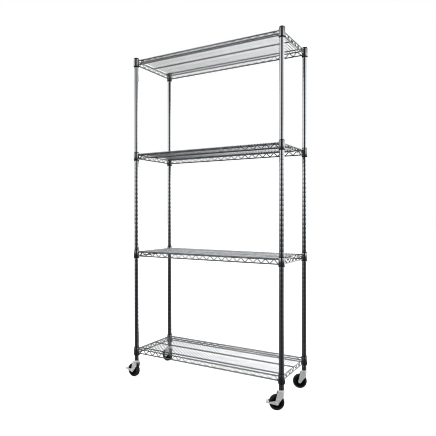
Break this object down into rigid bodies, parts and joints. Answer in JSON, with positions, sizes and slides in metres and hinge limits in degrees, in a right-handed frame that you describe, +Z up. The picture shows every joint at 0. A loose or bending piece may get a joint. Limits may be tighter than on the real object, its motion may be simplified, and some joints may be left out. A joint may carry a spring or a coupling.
{
  "type": "wire shelving rack on casters",
  "caption": "Tall open storage rack: welded wire shelves clamped on grooved round posts, standing on swivel casters, the front ones braked.",
  "frame": {"origin": "on the floor, at the centre of the whole footprint with the casters trailing as at rest", "axes": "+X along the long side to the right as seen from the front, +Y from front to back, +Z up along the posts"},
  "size_m": [1.0294, 0.414, 1.9116],
  "materials": {
    "chrome": "bright nickel-chrome plated steel wire and tube",
    "zinc": "bright zinc-plated pressed steel",
    "black_plastic": "moulded black plastic, fine grain",
    "tyre": "satin black rubber"
  },
  "bodies": {
    "frame": {"post_front_left": "chrome", "post_back_left": "chrome", "post_front_right": "chrome", "post_back_right": "chrome", "raceway_cup_front_left": "zinc", "raceway_cup_back_left": "zinc", "raceway_cup_front_right": "zinc", "raceway_cup_back_right": "zinc", "post_caps": "black_plastic", "stem_sockets": "zinc", "caster_stems": "zinc", "bottom_shelf_sleeves": "black_plastic", "lower_shelf_sleeves": "black_plastic", "upper_shelf_sleeves": "black_plastic", "top_shelf_sleeves": "black_plastic"},
    "bottom_shelf": {"bottom_shelf_rails": "chrome", "bottom_shelf_zigzags": "chrome", "bottom_shelf_deck": "chrome", "bottom_shelf_collars": "chrome"},
    "lower_shelf": {"lower_shelf_rails": "chrome", "lower_shelf_zigzags": "chrome", "lower_shelf_deck": "chrome", "lower_shelf_collars": "chrome"},
    "upper_shelf": {"upper_shelf_rails": "chrome", "upper_shelf_zigzags": "chrome", "upper_shelf_deck": "chrome", "upper_shelf_collars": "chrome"},
    "top_shelf": {"top_shelf_rails": "chrome", "top_shelf_zigzags": "chrome", "top_shelf_deck": "chrome", "top_shelf_collars": "chrome"},
    "fork_front_left": {"fork_front_left": "zinc", "bearing_balls_front_left": "zinc", "bushing_front_left": "zinc", "axle_front_left": "zinc"},
    "wheel_front_left": {"wheel_core_front_left": "black_plastic", "tyre_front_left": "tyre"},
    "pedal_front_left": {"brake_pedal_front_left": "zinc"},
    "fork_back_left": {"fork_back_left": "zinc", "bearing_balls_back_left": "zinc", "bushing_back_left": "zinc", "axle_back_left": "zinc"},
    "wheel_back_left": {"wheel_core_back_left": "black_plastic", "tyre_back_left": "tyre"},
    "fork_front_right": {"fork_front_right": "zinc", "bearing_balls_front_right": "zinc", "bushing_front_right": "zinc", "axle_front_right": "zinc"},
    "wheel_front_right": {"wheel_core_front_right": "black_plastic", "tyre_front_right": "tyre"},
    "pedal_front_right": {"brake_pedal_front_right": "zinc"},
    "fork_back_right": {"fork_back_right": "zinc", "bearing_balls_back_right": "zinc", "bushing_back_right": "zinc", "axle_back_right": "zinc"},
    "wheel_back_right": {"wheel_core_back_right": "black_plastic", "tyre_back_right": "tyre"}
  },
  "joints": [
    {"name": "bottom_shelf_lift", "type": "slide", "parent": "frame", "child": "bottom_shelf", "axis": [0, 0, 1], "range_m": [0, 0.5142]},
    {"name": "lower_shelf_lift", "type": "slide", "parent": "frame", "child": "lower_shelf", "axis": [0, 0, 1], "range_m": [0, 0.5142]},
    {"name": "upper_shelf_lift", "type": "slide", "parent": "frame", "child": "upper_shelf", "axis": [0, 0, 1], "range_m": [0, 0.4888]},
    {"name": "top_shelf_lift", "type": "slide", "parent": "frame", "child": "top_shelf", "axis": [0, 0, 1], "range_m": [0, 0.12]},
    {"name": "caster_swivel_front_left", "type": "hinge", "parent": "frame", "child": "fork_front_left", "pos_m": [-0.43536, -0.15758, 0.0926], "axis": [0, 0, 1], "continuous": true},
    {"name": "wheel_spin_front_left", "type": "hinge", "parent": "fork_front_left", "child": "wheel_front_left", "pos_m": [-0.45927, -0.15548, 0.0381], "axis": [-0.0872, -0.9962, 0], "continuous": true},
    {"name": "brake_pedal_front_left", "type": "hinge", "parent": "fork_front_left", "child": "pedal_front_left", "pos_m": [-0.45927, -0.15548, 0.0381], "axis": [-0.0872, -0.9962, 0], "range_deg": [0, 25]},
    {"name": "caster_swivel_back_left", "type": "hinge", "parent": "frame", "child": "fork_back_left", "pos_m": [-0.43536, 0.17742, 0.0926], "axis": [0, 0, 1], "continuous": true},
    {"name": "wheel_spin_back_left", "type": "hinge", "parent": "fork_back_left", "child": "wheel_back_left", "pos_m": [-0.45884, 0.18241, 0.0381], "axis": [-0.2079, -0.9781, 0], "continuous": true},
    {"name": "caster_swivel_front_right", "type": "hinge", "parent": "frame", "child": "fork_front_right", "pos_m": [0.49664, -0.15758, 0.0926], "axis": [0, 0, 1], "continuous": true},
    {"name": "wheel_spin_front_right", "type": "hinge", "parent": "fork_front_right", "child": "wheel_front_right", "pos_m": [0.47489, -0.16772, 0.0381], "axis": [0.4226, -0.9063, 0], "continuous": true},
    {"name": "brake_pedal_front_right", "type": "hinge", "parent": "fork_front_right", "child": "pedal_front_right", "pos_m": [0.47489, -0.16772, 0.0381], "axis": [0.4226, -0.9063, 0], "range_deg": [0, 25]},
    {"name": "caster_swivel_back_right", "type": "hinge", "parent": "frame", "child": "fork_back_right", "pos_m": [0.49664, 0.17742, 0.0926], "axis": [0, 0, 1], "continuous": true},
    {"name": "wheel_spin_back_right", "type": "hinge", "parent": "fork_back_right", "child": "wheel_back_right", "pos_m": [0.47409, 0.16922, 0.0381], "axis": [0.342, -0.9397, 0], "continuous": true}
  ]
}
